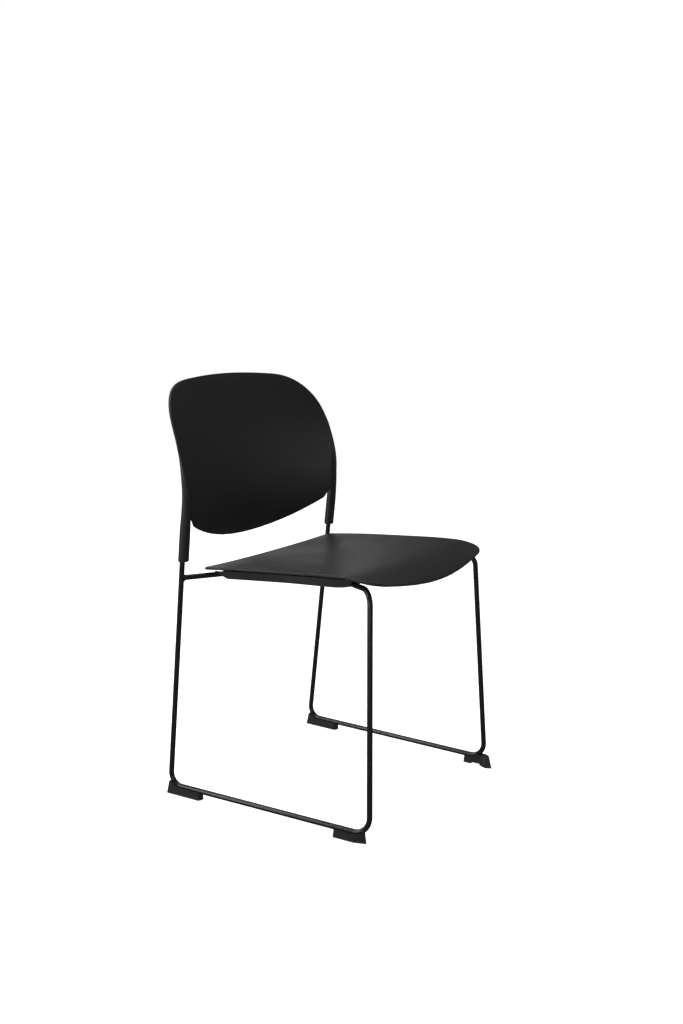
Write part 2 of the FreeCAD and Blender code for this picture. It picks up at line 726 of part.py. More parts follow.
def back_outline():
    """Half outline from the top centre to the bottom centre: across, height."""
    half = size("back_width") / 2
    bottom = size("back_bottom")
    tall = size("total_height") - bottom
    shares = (
        (0.0, 1.0), (0.48, 0.985), (0.80, 0.927), (0.947, 0.802), (0.991, 0.638),
        (1.0, 0.392), (0.955, 0.233), (0.794, 0.118), (0.492, 0.049), (0.0, 0.0),
    )
    return [(half * across, bottom + tall * up) for across, up in shares]


def back_shell():
    """Curved shell of even thickness with a rounded rim."""
    thickness = size("back_thickness")
    half = size("back_width") / 2 * 1.1
    low = size("back_bottom") - 25
    high = size("total_height") + 25
    columns, rows = 9, 9
    grid = []
    for row in range(rows):
        height = low + (high - low) * row / (rows - 1)
        line = []
        for column in range(columns):
            across = half * (2 * column / (columns - 1) - 1)
            line.append(Vector(across, back_middle(across, height) - thickness / 2, height))
        grid.append(line)
    surface = Part.BSplineSurface()
    surface.interpolate(grid)
    front = surface.toShape()
    shell = front.makeOffsetShape(thickness, 0.001, fill=True)
    if shell.BoundBox.YMin < front.BoundBox.YMin - thickness / 2:
        shell = front.makeOffsetShape(-thickness, 0.001, fill=True)
    half_curve = Part.BSplineCurve()
    half_curve.interpolate([Vector(across, 0, height) for across, height in back_outline()],
                           InitialTangent=Vector(1, 0, 0), FinalTangent=Vector(-1, 0, 0))
    half_edge = half_curve.toShape()
    ring = Part.Wire([half_edge, half_edge.mirror(Vector(0, 0, 0), Vector(1, 0, 0))])
    prism = Part.Face(ring).extrude(Vector(0, size("total_depth"), 0))
    shell = shell.common(prism)
    rim = [edge for edge in shell.Edges if edge.Length > 4 * thickness]
    return shell.makeFillet(size("back_rim_round"), rim)


def outline_half_width(height):
    """Half width of the shell at a height above its widest place, or the widest below it."""
    above = [point for point in back_outline() if point[1] > size("total_height") / 2]
    widest = max(above)
    points = above[:above.index(widest) + 1]
    for (high_x, high_z), (low_x, low_z) in zip(points, points[1:]):
        if low_z <= height <= high_z:
            return low_x + (high_x - low_x) * (height - low_z) / (high_z - low_z)
    return widest[0]


def smooth_step(value, start, end):
    """0 before the start, 1 after the end, and an even S curve between them."""
    share = min(max((value - start) / (end - start), 0.0), 1.0)
    return share * share * (3 - 2 * share)


def socket_section(height):
    """Round section of the left socket: it leaves the post's line to follow the shell's back."""
    straight = size("socket_straight_height")
    fade = size("socket_fade_height")
    full = size("socket_diameter") / 2
    radius = full * (1 - 0.8 * smooth_step(height, straight, fade))
    on_post = post_point(height) + Vector(-size("socket_inward"), -size("socket_forward"), 0)
    across = outline_half_width(height) - radius + size("socket_rim_lap")
    behind = back_middle(across, height) - size("back_thickness") / 2 + radius
    turn = smooth_step(height, straight, straight + (fade - straight) * 0.6)
    middle = on_post * (1 - turn) + Vector(across, behind, height) * turn
    return Part.Wire(Part.makeCircle(radius, middle, Vector(0, 0, 1)))


def socket_solid():
    """The left socket before it is bored."""
    mouth = size("socket_mouth_height")
    straight = size("socket_straight_height")
    fade = size("socket_fade_height")
    steps = 12
    tail = [socket_section(straight + (fade - straight) * step / steps) for step in range(steps + 1)]
    sleeve = Part.makeLoft([socket_section(mouth), tail[0]], True, True)
    mouth_edges = [edge for edge in sleeve.Edges
                   if abs(edge.BoundBox.ZMax - mouth) < 0.01 and edge.Closed]
    sleeve = sleeve.makeFillet(size("socket_mouth_round"), mouth_edges)
    return sleeve.fuse(Part.makeLoft(tail, True, False))


def make_backrest():
    """Shell, sockets and their bores as one moulding."""
    socket = socket_solid()
    bore_start = post_point(size("socket_mouth_height") - 5)
    bore_end = post_point(size("post_top_height") + 2)
    bore = Part.makeCylinder(size("rod_diameter") / 2 + size("post_fit"),
                             bore_start.distanceToPoint(bore_end), bore_start, post_direction())
    seat_y = socket_screw_seat()
    place = socket_screw_place()
    recess = Part.makeCylinder(size("socket_screw_head_diameter") / 2 + 0.3, 10,
                               Vector(place.x, seat_y, place.z), Vector(0, 1, 0))
    hole = Part.makeCylinder((size("socket_screw_diameter") + size("screw_play")) / 2,
                             size("socket_diameter") / 2,
                             Vector(place.x, seat_y + 1, place.z), Vector(0, -1, 0))
    shell = back_shell()
    mirror = (Vector(0, 0, 0), Vector(1, 0, 0))
    back = shell.fuse([socket, socket.mirror(*mirror)])
    for tool in (bore, recess, hole):
        back = back.cut([tool, tool.mirror(*mirror)])
    finish_node(code_feature("BackrestShell", back), "backrest_shell")


def socket_screw_seat():
    """Y of the flat under the head of a socket screw."""
    return socket_screw_place().y - size("socket_forward") + size("socket_diameter") / 2 - 1.2


# Glides

def runner_frame(end):
    """Placement on the floor under a corner of the left runner, its own Y along the runner."""
    corners = rod_corners()
    corner = corners[1] if end == "rear" else corners[2]
    run = corners[1] - corners[2]
    toe = math.degrees(math.atan2(run.x, run.y))
    return Placement(Vector(corner.x, corner.y, 0), Rotation(Vector(0, 0, 1), -toe))


def bend_centre(end):
    """Distance along the runner from its corner to the bend's centre, and the bend's radius."""
    corners = rod_corners()
    number = 1 if end == "rear" else 2
    before = (corners[number - 1] - corners[number]).normalize()
    after = (corners[number + 1] - corners[number]).normalize()
    radius = size(f"{end}_bend")
    return radius / math.tan(before.getAngle(after) / 2), radius


def glide_stock(name, end, sole, crown, crown_height):
    """Solid glide from its sole and crown outlines, opened above the rod."""
    body = doc.addObject("PartDesign::Body", f"Glide{name}Stock")
    sole_sketch = add_sketch(body, f"Sole{name}", "XY_Plane")
    add_polygon(sole_sketch, sole)
    crown_sketch = add_sketch(body, f"Crown{name}", "XY_Plane")
    crown_sketch.setExpression("AttachmentOffset.Base.z", crown_height)
    add_polygon(crown_sketch, crown)
    block = body.newObject("PartDesign::AdditiveLoft", f"Block{name}")
    block.Profile = sole_sketch
    block.Sections = [crown_sketch]
    block.Ruled = True
    reach, radius = bend_centre(end)
    away = "-1" if end == "rear" else "1"
    above = add_sketch(body, f"OverRunner{name}", "YZ_Plane")
    far = "Sizes.glide_rear_length * 2"
    add_polygon(above, (
        (f"{away} * {reach}", "Sizes.glide_wall_height"),
        (f"{away} * {far}", "Sizes.glide_wall_height"),
        (f"{away} * {far}", "Sizes.glide_rear_crown * 2"),
        (f"{away} * {reach}", "Sizes.glide_rear_crown * 2"),
    ))
    straight = body.newObject("PartDesign::Pocket", f"OpenOverRunner{name}")
    straight.Profile = above
    straight.Type = "ThroughAll"
    straight.Midplane = True
    inside = add_sketch(body, f"InsideBend{name}", "YZ_Plane")
    bend = f"{radius} + Sizes.rod_axis_height - Sizes.glide_wall_height"
    add_circle(inside, f"{away} * {reach}", f"Sizes.rod_axis_height + {radius}", bend)
    curved = body.newObject("PartDesign::Pocket", f"OpenInsideBend{name}")
    curved.Profile = inside
    curved.Type = "ThroughAll"
    curved.Midplane = True
    body.Tip = curved
    return body


def make_rear_glides(rod_space):
    """Long glides that cup the rear bends."""
    rear = "Sizes.glide_rear_overhang"
    front = "Sizes.glide_rear_overhang - Sizes.glide_rear_length"
    half = "Sizes.glide_sole_width / 2"
    narrow = "Sizes.glide_crown_width / 2"
    slant = "Sizes.glide_end_slant"
    sole = (
        (half, rear), (half, f"{front} + {half} / 2"), (f"{half} / 2", front),
        (f"-{half} / 2", front), (f"-{half}", f"{front} + {half} / 2"), (f"-{half}", rear),
    )
    crown = (
        (narrow, f"{rear} - 4 * {slant}"), (narrow, f"{front} + {half} / 2 + {slant}"),
        (f"{half} / 2", f"{front} + {slant}"), (f"-{half} / 2", f"{front} + {slant}"),
        (f"-{narrow}", f"{front} + {half} / 2 + {slant}"), (f"-{narrow}", f"{rear} - 4 * {slant}"),
    )
    body = glide_stock("Rear", "rear", sole, crown, "Sizes.glide_rear_crown")
    body.Placement = runner_frame("rear")
    doc.recompute()
    left = finish_node(boolean("Cut", "GlideRearLeft", body, rod_space), "glide_rear_left")
    finish_node(mirrored(left, "GlideRearRight"), "glide_rear_right")


def front_glide_stock(side, setback, nose_slant, outer_bevel, inner_bevel):
    """A front glide with its flared nose and the notch in its inboard edge."""
    nose = f"({setback} - Sizes.front_inset)"
    half = "Sizes.glide_sole_width / 2"
    narrow = "Sizes.glide_crown_width / 2"
    tail = f"{nose} + Sizes.glide_front_length"
    shoulder = f"{nose} + Sizes.glide_front_length * Sizes.glide_shoulder_share"
    slant = "Sizes.glide_end_slant"
    flare = "Sizes.glide_nose_flare"
    waist = f"{nose} + Sizes.glide_front_length * Sizes.glide_waist_share"
    cheek = "Sizes.glide_front_length * Sizes.glide_cheek_share"
    sole = (
        (half, tail), (half, shoulder),
        (f"{half} / 6", f"{nose} + {outer_bevel}"), (f"-{half}", f"{nose} + {inner_bevel}"),
        (f"-{half} - {flare}", f"{nose} + Sizes.glide_front_length * Sizes.glide_flare_share"),
        (f"-{half}", waist), (f"-{half}", tail),
    )
    crown = (
        (narrow, f"{tail} - {slant}"), (narrow, shoulder),
        (f"{half} / 6 + {slant}", f"{nose} + {outer_bevel} + {nose_slant}"),
        (f"-{narrow} + {slant}", f"{nose} + {inner_bevel} + {nose_slant}"),
        (f"-{narrow}", f"{nose} + {inner_bevel} + {nose_slant} + {cheek}"),
        (f"-{narrow}", waist), (f"-{narrow}", f"{tail} - {slant}"),
    )
    body = glide_stock(side.title(), "front", sole, crown, f"Sizes.glide_{side}_crown")
    notch = add_sketch(body, f"Arch{side.title()}", "YZ_Plane")
    arch_front = f"{nose} + Sizes.glide_front_length * Sizes.glide_arch_share"
    rise = "Sizes.glide_arch_height"
    add_polygon(notch, (
        (arch_front, "-1 * Sizes.glide_arch_height"),
        (f"{arch_front} + Sizes.glide_arch_length", "-1 * Sizes.glide_arch_height"),
        (f"{arch_front} + Sizes.glide_arch_length", "0 * Sizes.glide_arch_height"),
        (f"{arch_front} + Sizes.glide_arch_length - {rise} / 2", rise),
        (f"{arch_front} + {rise} / 2", rise),
        (arch_front, "0 * Sizes.glide_arch_height"),
    ))
    arch = body.newObject("PartDesign::Pocket", f"ArchCut{side.title()}")
    arch.Profile = notch
    arch.setExpression("Length", "Sizes.glide_sole_width")
    body.Tip = arch
    body.Placement = runner_frame("front")
    return body


def make_front_glides(rod_space):
    """Front glides; the right one sits further back on its runner."""
    none = "0 * Sizes.glide_nose_bevel"
    bevel = "Sizes.glide_nose_bevel"
    left_stock = front_glide_stock("left", none, "6 * Sizes.glide_end_slant", bevel, none)
    right_stock = front_glide_stock("right", "Sizes.glide_right_setback",
                                    "Sizes.glide_end_slant", none, bevel)
    doc.recompute()
    finish_node(boolean("Cut", "GlideFrontLeft", left_stock, rod_space), "glide_front_left")
    right = boolean("Cut", "GlideFrontRightUnmirrored", right_stock, rod_space)
    finish_node(mirrored(right, "GlideFrontRight"), "glide_front_right")


# Screws

def screw_body(name, kind):
    """A pan-head screw: head below the origin, shank up its own Z."""
    body = doc.addObject("PartDesign::Body", name)
    profile = add_sketch(body, f"{name}Profile", "XZ_Plane")
    shank = f"Sizes.{kind}_diameter / 2"
    head = f"Sizes.{kind}_head_diameter / 2"
    tall = f"Sizes.{kind}_head_height"
    length = f"Sizes.{kind}_length"
    zero = f"0 * {length}"
    add_polygon(profile, (
        (zero, f"-{tall}"), (f"{head} * 0.6", f"-{tall}"), (head, f"-{tall} * 0.5"), (head, zero),
        (shank, zero), (shank, f"{length} - {shank}"), (f"{shank} * 0.4", length), (zero, length),
    ))
    turned = body.newObject("PartDesign::Revolution", f"{name}Turned")
    turned.Profile = profile
    turned.ReferenceAxis = (profile, ["V_Axis"])
    turned.Angle = 360
    drive = add_sketch(body, f"{name}DriveOutline", "XY_Plane")
    drive.setExpression("AttachmentOffset.Base.z", f"-{tall}")
    width = f"{head} * 0.12"
    reach = f"{head} * 0.5"
    add_polygon(drive, (
        (f"-{reach}", f"-{width}"), (f"-{width}", f"-{width}"), (f"-{width}", f"-{reach}"),
        (width, f"-{reach}"), (width, f"-{width}"), (reach, f"-{width}"),
        (reach, width), (width, width), (width, reach),
        (f"-{width}", reach), (f"-{width}", width), (f"-{reach}", width),
    ))
    slot = body.newObject("PartDesign::Pocket", f"{name}Drive")
    slot.Profile = drive
    slot.Reversed = True
    slot.setExpression("Length", f"{tall} * 0.6")
    body.Tip = slot
    return body


def make_screws():
    """Seat screws, cover screws and the screws that lock the posts in their sockets."""
    rod_radius = size("rod_diameter") / 2
    seat_screws = []
    cover_screws = []
    for name in ("front", "rear"):
        seat = screw_body(f"SeatScrew{name.title()}", "screw")
        under_tab = Placement(Vector(-size("seat_screw_inset"), 0, rod_radius + size("weld_gap")),
                              Rotation())
        seat.Placement = support_frame(f"tab_{name}_place").multiply(under_tab)
        seat_screws += [seat, mirrored(seat, f"SeatScrewRight{name.title()}")]
        cover = screw_body(f"CoverScrew{name.title()}", "screw")
        on_floor = Placement(Vector(size("cover_screw_spread") / 2, size(f"cover_screw_{name}"), 0),
                             Rotation())
        cover.Placement = cover_floor_frame().multiply(on_floor)
        cover_screws += [cover, mirrored(cover, f"CoverScrewRight{name.title()}")]
    finish_node(group("SeatScrews", seat_screws), "seat_screws")
    finish_node(group("CoverScrews", cover_screws), "cover_screws")
    lock = screw_body("SocketScrewLeft", "socket_screw")
    place = socket_screw_place()
    lock.Placement = Placement(Vector(place.x, socket_screw_seat(), place.z),
                               Rotation(Vector(1, 0, 0), 90))
    finish_node(group("SocketScrews", [lock, mirrored(lock, "SocketScrewRight")]), "socket_screws")


# Spaces that the rods need in other pieces

def rod_slot(start, end, clearance):
    """A straight rod's space, open upward so the piece can be fitted from below."""
    radius = size("rod_diameter") / 2 + clearance
    along = end - start
    pipe = Part.makeCylinder(radius, along.Length, start, along)
    across = Vector(-along.y, along.x, 0).normalize() * radius
    base = Part.Face(Part.makePolygon([start - across, end - across, end + across,
                                       start + across, start - across]))
    return pipe.fuse(base.extrude(Vector(0, 0, size("cover_depth") * 2)))


def make_cover_trim():
    """What is taken off the cover: openings for the rods, and all that would enter the seat."""
    corners = rod_corners()
    slots = []
    for start, end in ((corners[3], corners[4]), (corners[5], corners[6])):
        slot = rod_slot(start, end, size("rod_clearance"))
        slots += [slot, slot.mirror(Vector(0, 0, 0), Vector(1, 0, 0))]
    space = rod_solid(size("rod_clearance"))
    slots += [space, space.mirror(Vector(0, 0, 0), Vector(1, 0, 0))]
    seat_underside = seat_top_face()
    gap = size("seat_thickness") * 1.02 + size("cover_seat_gap")
    seat_underside.translate(Vector(0, 0, -gap))
    seat_space = seat_underside.extrude(Vector(0, 0, size("cover_depth") * 2))
    return code_feature("CoverTrim", seat_space.fuse(slots))


def make_rod_space(name, clearance, both_sides=False):
    """The space round the left rod, or round both rods."""
    space = rod_solid(clearance)
    if both_sides:
        space = space.fuse(space.mirror(Vector(0, 0, 0), Vector(1, 0, 0)))
    return code_feature(name, space)


# Assembly

make_side_rods()
make_cross_bars(make_rod_space("BarCoping", size("weld_gap"), both_sides=True))
make_weld_beads()
make_seat_tabs()
make_seat_shell()
make_cover(make_cover_trim())
make_backrest()
glide_space = make_rod_space("GlideGroove", size("glide_fit"))
make_rear_glides(glide_space)
make_front_glides(glide_space)
make_screws()
doc.recompute()


# Checks, then one STEP file for each sub-part

for item in doc.Objects:
    if "Invalid" in item.State or "Error" in item.State:
        raise RuntimeError(f"{item.Name} is {item.State}")
for node in nodes:
    if node.Shape.isNull() or not node.Shape.isValid():
        raise RuntimeError(f"{node.Label} has no valid shape")

os.makedirs("parts", exist_ok=True)
for node in nodes:
    node.Shape.exportStep(f"parts/{node.Label}.step")
    print(node.Label, len(node.Shape.Solids), round(node.Shape.Volume))
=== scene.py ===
"""Choir chair: a stacking chair with a moulded seat and back on two bent steel rods.

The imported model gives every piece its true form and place. This script dresses those pieces in
their finishes, makes the backrest's lower edge fair, and sets the chair on a pale studio floor in
front of a camera that stands where the photograph's camera stood.
"""

import json
import logging
import math
from dataclasses import dataclass
from enum import Enum
from typing import Any, Iterable

import bmesh
import bpy
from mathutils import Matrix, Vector

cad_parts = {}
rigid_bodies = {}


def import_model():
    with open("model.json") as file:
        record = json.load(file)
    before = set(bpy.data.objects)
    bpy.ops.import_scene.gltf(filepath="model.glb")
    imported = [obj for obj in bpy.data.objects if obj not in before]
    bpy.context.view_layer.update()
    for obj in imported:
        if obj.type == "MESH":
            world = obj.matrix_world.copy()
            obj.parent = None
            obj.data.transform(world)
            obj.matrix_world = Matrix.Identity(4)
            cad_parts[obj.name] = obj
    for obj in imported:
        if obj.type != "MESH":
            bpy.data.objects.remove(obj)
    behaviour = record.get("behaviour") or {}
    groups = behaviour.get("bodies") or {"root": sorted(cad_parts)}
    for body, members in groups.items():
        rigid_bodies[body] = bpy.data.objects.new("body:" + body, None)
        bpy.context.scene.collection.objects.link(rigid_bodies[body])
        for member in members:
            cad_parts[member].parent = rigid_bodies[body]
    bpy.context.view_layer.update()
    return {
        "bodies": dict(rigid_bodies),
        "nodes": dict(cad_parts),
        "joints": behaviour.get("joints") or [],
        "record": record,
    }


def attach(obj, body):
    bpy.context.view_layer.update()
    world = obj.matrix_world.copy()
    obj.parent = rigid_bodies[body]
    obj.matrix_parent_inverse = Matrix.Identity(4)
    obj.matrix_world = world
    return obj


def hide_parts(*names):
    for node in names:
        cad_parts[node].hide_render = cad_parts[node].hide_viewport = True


LOG = logging.getLogger("choir_chair")
# The photograph's frame, in pixels.
PHOTO_WIDTH = 683
PHOTO_HEIGHT = 1024
# The one body that every piece rides on.
BODY = "root"
# Points nearer to each other than this are one point, in metres.
WELD_DISTANCE = 1e-6
# How far below the soles the floor lies, in metres, so that their faces never coincide.
FLOOR_DROP = 0.0003
# Nearly all values of a noise pattern lie between these two.
NOISE_LOW = 0.3
NOISE_HIGH = 0.7
# A Mix node for colours takes them at inputs 6 and 7 and gives the result at this output.
MIXED_COLOUR = 2
# How well a surface's normal agrees with its rounded one, on an open face and on an edge.
FACE_AGREEMENT = 0.995
EDGE_AGREEMENT = 0.88
WHITE = "#ffffff"


# Colours, sizes and shader nodes

def linear_colour(hex_code: str) -> tuple[float, float, float, float]:
    """Turn an sRGB hex colour into the linear colour that shaders take.

    Args:
        hex_code: Six hex digits, with or without a leading hash.

    Returns:
        Red, green, blue and a full alpha.
    """
    digits = hex_code.lstrip("#")
    channels = [int(digits[start:start + 2], 16) / 255 for start in (0, 2, 4)]
    linear = [c / 12.92 if c <= 0.04045 else ((c + 0.055) / 1.055) ** 2.4 for c in channels]
    return linear[0], linear[1], linear[2], 1.0


def metres(millimetres: float) -> float:
    """Turn a size in millimetres into metres."""
    return millimetres / 1000


def per_metre(millimetres: float) -> float:
    """Give the pattern scale whose features are about this many millimetres wide."""
    return 1000 / millimetres


def add_node(tree: bpy.types.NodeTree, kind: str, settings: dict[str, Any] | None = None,
             **inputs: Any) -> bpy.types.Node:
    """Add one node with its settings, socket values and incoming links.

    Args:
        tree: Node tree that gets the node.
        kind: Blender's name of the node type.
        settings: Properties of the node itself, such as an operation.
        **inputs: Socket values or output sockets to link, keyed by the socket's name with
            spaces as underscores, or by its number after an underscore.

    Returns:
        The new node.
    """
    node = tree.nodes.new(kind)
    for name, value in (settings or {}).items():
        setattr(node, name, value)
    for key, value in inputs.items():
        number = key[1:]
        socket = node.inputs[int(number) if number.isdigit() else key.replace("_", " ")]
        if isinstance(value, bpy.types.NodeSocket):
            tree.links.new(value, socket)
        else:
            socket.default_value = value
    return node


class RecordSlot(Enum):
    """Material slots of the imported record, one for each family of finish."""

    FRAME = "frame_steel"
    SEAT = "seat_plastic"
    BACK = "back_plastic"
    COVER = "cover_plastic"
    GLIDE = "glide_plastic"
    SCREW = "screw_steel"


# Finishes

@dataclass(frozen=True)
class Finish:
    """What every finish has: its name, its sRGB colour and its mean roughness."""

    name: str
    colour: str
    roughness: float

    def material(self) -> bpy.types.Material:
        """Make the material, with its nodes laid out by `fill`.

        Returns:
            A new material that ends in one Principled shader.
        """
        made = bpy.data.materials.new(self.name)
        made.use_nodes = True
        tree = made.node_tree
        tree.nodes.clear()
        shader = add_node(tree, "ShaderNodeBsdfPrincipled")
        add_node(tree, "ShaderNodeOutputMaterial", Surface=shader.outputs["BSDF"])
        place = add_node(tree, "ShaderNodeTexCoord").outputs["Object"]
        self.fill(tree, shader, place)
        made.diffuse_color = linear_colour(self.colour)
        return made

    def fill(self, tree: bpy.types.NodeTree, shader: bpy.types.Node,
             place: bpy.types.NodeSocket) -> None:
        """Lay out the finish's own nodes.

        Args:
            tree: Node tree of the material.
            shader: Its Principled shader.
            place: Object coordinates in metres.
        """
        raise NotImplementedError


@dataclass(frozen=True)
class MouldedPolypropylene(Finish):
    """Black polypropylene out of a spark-eroded steel mould.

    The eroded texture scatters light in a soft grey sheen, hands and clothes polish it in broad
    patches, and rims come out paler, partly from rubbing and partly as a painted highlight.
    """

    grain_mm: float = 2.4
    grain_depth_mm: float = 0.05
    grain_strength: float = 0.35
    grain_roughness: float = 0.08
    patch_mm: float = 140.0
    patch_dark: float = 0.85
    patch_pale: float = 1.2
    polish: float = 0.06
    # Rim colour: rubbing together with a painted highlight along the edges.
    rim_colour: str = "#2c2c2c"
    rim_mm: float = 1.2
    rim_speck_mm: float = 9.0
    ior: float = 1.49

    def fill(self, tree: bpy.types.NodeTree, shader: bpy.types.Node,
             place: bpy.types.NodeSocket) -> None:
        """Lay out grain, handling polish and the paler rim, part rubbing and part painted
        highlight.

        Args:
            tree: Node tree of the material.
            shader: Its Principled shader.
            place: Object coordinates in metres.
        """
        # The mould's grit is about 0.15 mm, too fine for the picture, so it is drawn at 2.4 mm.
        grain = add_node(tree, "ShaderNodeTexNoise", Vector=place, Scale=per_metre(self.grain_mm),
                         Detail=4.0, Roughness=0.6)
        patches = add_node(tree, "ShaderNodeTexNoise", Vector=place, Scale=per_metre(self.patch_mm),
                           Detail=3.0, Roughness=0.55)
        specks = add_node(tree, "ShaderNodeTexNoise", Vector=place,
                          Scale=per_metre(self.rim_speck_mm), Detail=6.0, Roughness=0.7)
        rim = edge_mask(tree, metres(self.rim_mm))
        # Painted highlight with some rubbing: the sharp edges are painted paler in specks.
        rim_wear_and_highlight = add_node(tree, "ShaderNodeMath", {"operation": "MULTIPLY"},
                        _0=rim, _1=specks.outputs["Fac"])
        dark = linear_colour(self.colour)
        pale = linear_colour(self.rim_colour)
        mottle = add_node(tree, "ShaderNodeValToRGB", Fac=patches.outputs["Fac"])
        ends = ((NOISE_LOW, self.patch_dark), (NOISE_HIGH, self.patch_pale))
        for stop, (position, share) in zip(mottle.color_ramp.elements, ends):
            stop.position = position
            stop.color = [channel * share for channel in dark[:3]] + [1.0]
        tone = add_node(tree, "ShaderNodeMix", {"data_type": "RGBA"}, _0=rim_wear_and_highlight.outputs[0],
                        _6=mottle.outputs["Color"], _7=pale)
        smooth = add_node(tree, "ShaderNodeMapRange", Value=patches.outputs["Fac"],
                          From_Min=NOISE_LOW, From_Max=NOISE_HIGH,
                          To_Min=self.roughness - self.polish, To_Max=self.roughness + self.polish)
        fine = add_node(tree, "ShaderNodeMath", {"operation": "MULTIPLY_ADD"},
                        _0=grain.outputs["Fac"], _1=self.grain_roughness,
                        _2=smooth.outputs["Result"])
        bump = add_node(tree, "ShaderNodeBump", Strength=self.grain_strength,
                        Distance=metres(self.grain_depth_mm), Height=grain.outputs["Fac"])
        tree.links.new(tone.outputs[MIXED_COLOUR], shader.inputs["Base Color"])
        tree.links.new(fine.outputs[0], shader.inputs["Roughness"])
        tree.links.new(bump.outputs["Normal"], shader.inputs["Normal"])
        shader.inputs["IOR"].default_value = self.ior


@dataclass(frozen=True)
class PowderCoat(Finish):
    """Black polyester powder baked on steel.

    It flows into a faint orange peel that breaks up every highlight, and thins on tight
    corners, where it is a shade paler.
    """

    peel_mm: float = 3.0
    peel_depth_mm: float = 0.06
    peel_strength: float = 0.3
    haze_mm: float = 45.0
    glossier: float = 0.04
    duller: float = 0.07
    thin_colour: str = "#3c3c3c"
    thin_mm: float = 0.8
    ior: float = 1.5

    def fill(self, tree: bpy.types.NodeTree, shader: bpy.types.Node,
             place: bpy.types.NodeSocket) -> None:
        """Lay out orange peel, gloss changes and thin corners.

        Args:
            tree: Node tree of the material.
            shader: Its Principled shader.
            place: Object coordinates in metres.
        """
        peel = add_node(tree, "ShaderNodeTexNoise", Vector=place, Scale=per_metre(self.peel_mm),
                        Detail=2.0, Roughness=0.5)
        haze = add_node(tree, "ShaderNodeTexNoise", Vector=place, Scale=per_metre(self.haze_mm),
                        Detail=5.0, Roughness=0.65)
        thin = edge_mask(tree, metres(self.thin_mm))
        tone = add_node(tree, "ShaderNodeMix", {"data_type": "RGBA"}, _0=thin,
                        _6=linear_colour(self.colour), _7=linear_colour(self.thin_colour))
        gloss = add_node(tree, "ShaderNodeMapRange", Value=haze.outputs["Fac"],
                         From_Min=NOISE_LOW, From_Max=NOISE_HIGH,
                         To_Min=self.roughness - self.glossier,
                         To_Max=self.roughness + self.duller)
        bump = add_node(tree, "ShaderNodeBump", Strength=self.peel_strength,
                        Distance=metres(self.peel_depth_mm), Height=peel.outputs["Fac"])
        tree.links.new(tone.outputs[MIXED_COLOUR], shader.inputs["Base Color"])
        tree.links.new(gloss.outputs["Result"], shader.inputs["Roughness"])
        tree.links.new(bump.outputs["Normal"], shader.inputs["Normal"])
        shader.inputs["IOR"].default_value = self.ior


@dataclass(frozen=True)
class PaintedWeld(PowderCoat):
    """The same powder over a hand-laid weld: stacked ripples show through the paint."""

    ripple_mm: float = 1.6
    ripple_depth_mm: float = 0.3
    ripple_strength: float = 0.8

    def fill(self, tree: bpy.types.NodeTree, shader: bpy.types.Node,
             place: bpy.types.NodeSocket) -> None:
        """Lay the weld's ripples over the powder coat.

        Args:
            tree: Node tree of the material.
            shader: Its Principled shader.
            place: Object coordinates in metres.
        """
        super().fill(tree, shader, place)
        ripple = add_node(tree, "ShaderNodeTexVoronoi", {"feature": "SMOOTH_F1"}, Vector=place,
                          Scale=per_metre(self.ripple_mm), Smoothness=0.6)
        peel = shader.inputs["Normal"].links[0].from_socket
        bump = add_node(tree, "ShaderNodeBump", Strength=self.ripple_strength,
                        Distance=metres(self.ripple_depth_mm), Height=ripple.outputs["Distance"],
                        Normal=peel)
        tree.links.new(bump.outputs["Normal"], shader.inputs["Normal"])


@dataclass(frozen=True)
class MouldedNylon(Finish):
    """Dark nylon glides, waxy and satin, scuffed grey where they slide on the floor."""

    grain_mm: float = 1.8
    grain_depth_mm: float = 0.06
    grain_strength: float = 0.3
    glossier: float = 0.06
    duller: float = 0.08
    scuff_colour: str = "#57544f"
    scuff_height_mm: float = 2.5
    ior: float = 1.53

    def fill(self, tree: bpy.types.NodeTree, shader: bpy.types.Node,
             place: bpy.types.NodeSocket) -> None:
        """Lay out grain and the scuffed sole.

        Args:
            tree: Node tree of the material.
            shader: Its Principled shader.
            place: Object coordinates in metres.
        """
        grain = add_node(tree, "ShaderNodeTexNoise", Vector=place, Scale=per_metre(self.grain_mm),
                         Detail=4.0, Roughness=0.6)
        height = add_node(tree, "ShaderNodeSeparateXYZ", Vector=place)
        low = add_node(tree, "ShaderNodeMapRange", Value=height.outputs["Z"],
                       From_Min=0.0, From_Max=metres(self.scuff_height_mm), To_Min=1.0, To_Max=0.0)
        ragged = add_node(tree, "ShaderNodeMath", {"operation": "MULTIPLY", "use_clamp": True},
                          _0=low.outputs["Result"], _1=grain.outputs["Fac"])
        tone = add_node(tree, "ShaderNodeMix", {"data_type": "RGBA"}, _0=ragged.outputs[0],
                        _6=linear_colour(self.colour), _7=linear_colour(self.scuff_colour))
        gloss = add_node(tree, "ShaderNodeMapRange", Value=grain.outputs["Fac"],
                         From_Min=NOISE_LOW, From_Max=NOISE_HIGH,
                         To_Min=self.roughness - self.glossier,
                         To_Max=self.roughness + self.duller)
        bump = add_node(tree, "ShaderNodeBump", Strength=self.grain_strength,
                        Distance=metres(self.grain_depth_mm), Height=grain.outputs["Fac"])
        tree.links.new(tone.outputs[MIXED_COLOUR], shader.inputs["Base Color"])
        tree.links.new(gloss.outputs["Result"], shader.inputs["Roughness"])
        tree.links.new(bump.outputs["Normal"], shader.inputs["Normal"])
        shader.inputs["IOR"].default_value = self.ior


